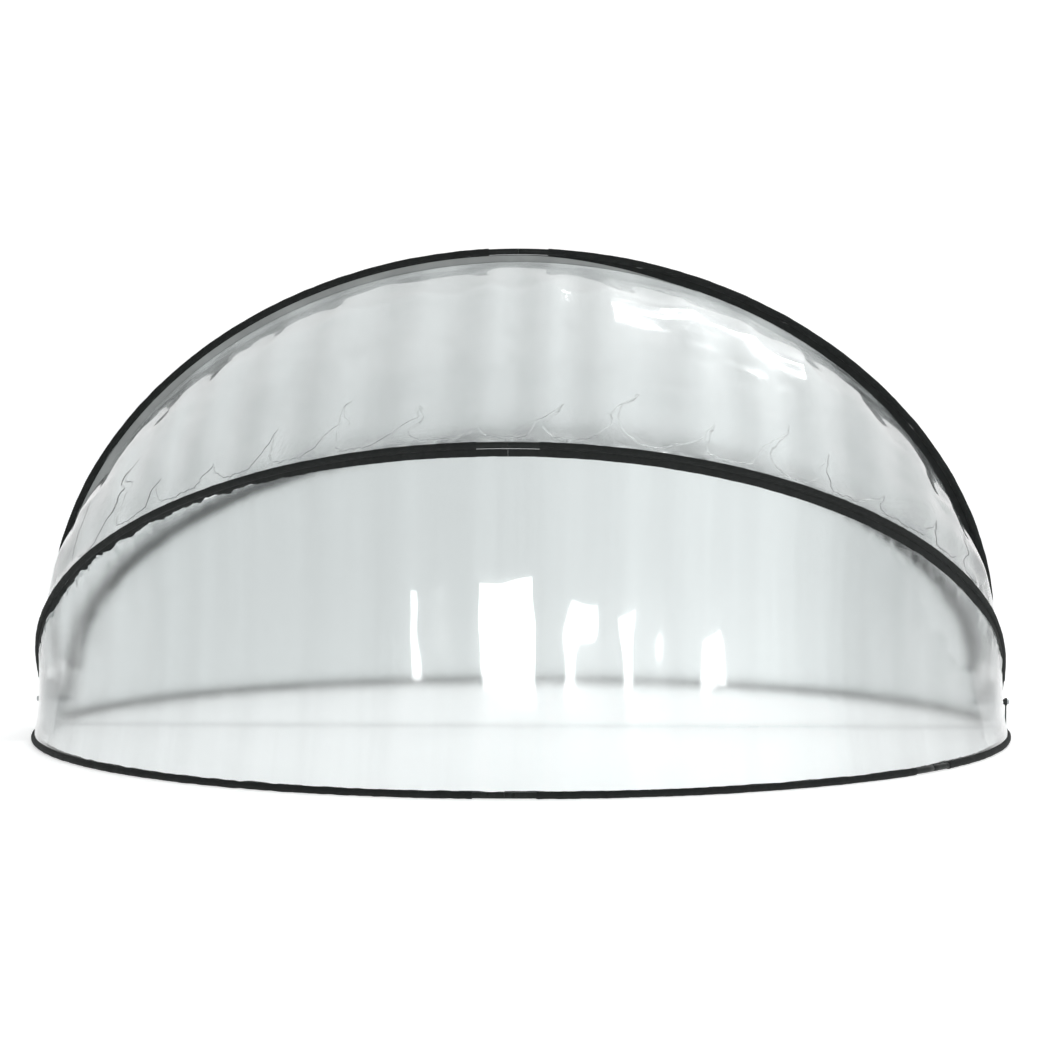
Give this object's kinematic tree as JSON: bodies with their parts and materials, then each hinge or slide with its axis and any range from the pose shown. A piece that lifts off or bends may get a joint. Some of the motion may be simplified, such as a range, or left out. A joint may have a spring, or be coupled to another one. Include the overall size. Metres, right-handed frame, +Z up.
{
  "type": "dome cover",
  "caption": "Round free-standing dome cover: ring on the ground, arched tube hoops hinged at two side hubs, clear panels; the front half folds back over the top.",
  "frame": {"origin": "centre of the ring on the ground", "axes": "+Z up, the clear front faces -Y, and the hinge axis runs along X through the two side hubs"},
  "size_m": [4.9992, 4.9918, 2.4847],
  "materials": {
    "clear_panel": "clear flexible sheet, faint grey-green tint, glossy",
    "sleeve_fabric": "matte near-black coated woven fabric",
    "strap_webbing": "flat black woven webbing",
    "coated_tube": "black semi-gloss coating on a thin steel tube",
    "coated_steel": "dark grey powder coating",
    "plain_steel": "zinc-plated steel",
    "nylon_spacer": "black nylon"
  },
  "bodies": {
    "base": {"ground_strap": "strap_webbing", "hub_axle_left": "plain_steel", "hub_axle_right": "plain_steel", "hub_bracket_left": "coated_steel", "hub_bracket_right": "coated_steel", "hub_inner_nut_left": "plain_steel", "hub_inner_nut_right": "plain_steel", "hub_inner_spacer_left": "nylon_spacer", "hub_inner_spacer_right": "nylon_spacer", "hub_outer_nut_left": "plain_steel", "hub_outer_nut_right": "plain_steel", "hub_outer_spacer_left": "nylon_spacer", "hub_outer_spacer_right": "nylon_spacer", "rear_hoop_eye_left": "plain_steel", "rear_hoop_eye_right": "plain_steel", "rear_hoop_sleeve_left": "sleeve_fabric", "rear_hoop_sleeve_right": "sleeve_fabric", "rear_hoop_spigot": "plain_steel", "rear_hoop_tube_left": "coated_tube", "rear_hoop_tube_right": "coated_tube", "rear_panel": "clear_panel", "rear_ring_lug_left": "plain_steel", "rear_ring_lug_right": "plain_steel", "rear_ring_screw_left": "plain_steel", "rear_ring_screw_right": "plain_steel", "rear_ring_sleeve_left": "sleeve_fabric", "rear_ring_sleeve_right": "sleeve_fabric", "rear_ring_spigot": "plain_steel", "rear_ring_tube_left": "coated_tube", "rear_ring_tube_right": "coated_tube", "upper_rear_panel": "clear_panel"},
    "top_hoop": {"top_hoop_eye_left": "plain_steel", "top_hoop_eye_right": "plain_steel", "top_hoop_sleeve_left": "sleeve_fabric", "top_hoop_sleeve_right": "sleeve_fabric", "top_hoop_spigot": "plain_steel", "top_hoop_tube_left": "coated_tube", "top_hoop_tube_right": "coated_tube", "upper_front_panel": "clear_panel"},
    "front_hoop": {"front_hoop_eye_left": "plain_steel", "front_hoop_eye_right": "plain_steel", "front_hoop_sleeve_left": "sleeve_fabric", "front_hoop_sleeve_right": "sleeve_fabric", "front_hoop_spigot": "plain_steel", "front_hoop_tube_left": "coated_tube", "front_hoop_tube_right": "coated_tube", "front_panel": "clear_panel"},
    "front_ring": {"front_ring_arm_left": "coated_steel", "front_ring_arm_right": "coated_steel", "front_ring_sleeve_left": "sleeve_fabric", "front_ring_sleeve_middle": "sleeve_fabric", "front_ring_sleeve_right": "sleeve_fabric", "front_ring_spigot_1": "plain_steel", "front_ring_spigot_2": "plain_steel", "front_ring_tube_left": "coated_tube", "front_ring_tube_middle": "coated_tube", "front_ring_tube_right": "coated_tube"}
  },
  "joints": [
    {"name": "top_hoop_swing", "type": "hinge", "parent": "base", "child": "top_hoop", "pos_m": [0, 0, 0.173], "axis": [-1, 0, 0], "range_deg": [0, 63], "deforming": ["upper_rear_panel"]},
    {"name": "front_hoop_swing", "type": "hinge", "parent": "top_hoop", "child": "front_hoop", "pos_m": [0, 0, 0.173], "axis": [-1, 0, 0], "range_deg": [0, 41], "deforming": ["upper_front_panel"]},
    {"name": "front_ring_swing", "type": "hinge", "parent": "front_hoop", "child": "front_ring", "pos_m": [0, 0, 0.173], "axis": [-1, 0, 0], "range_deg": [0, 31.5], "deforming": ["front_panel"]}
  ]
}
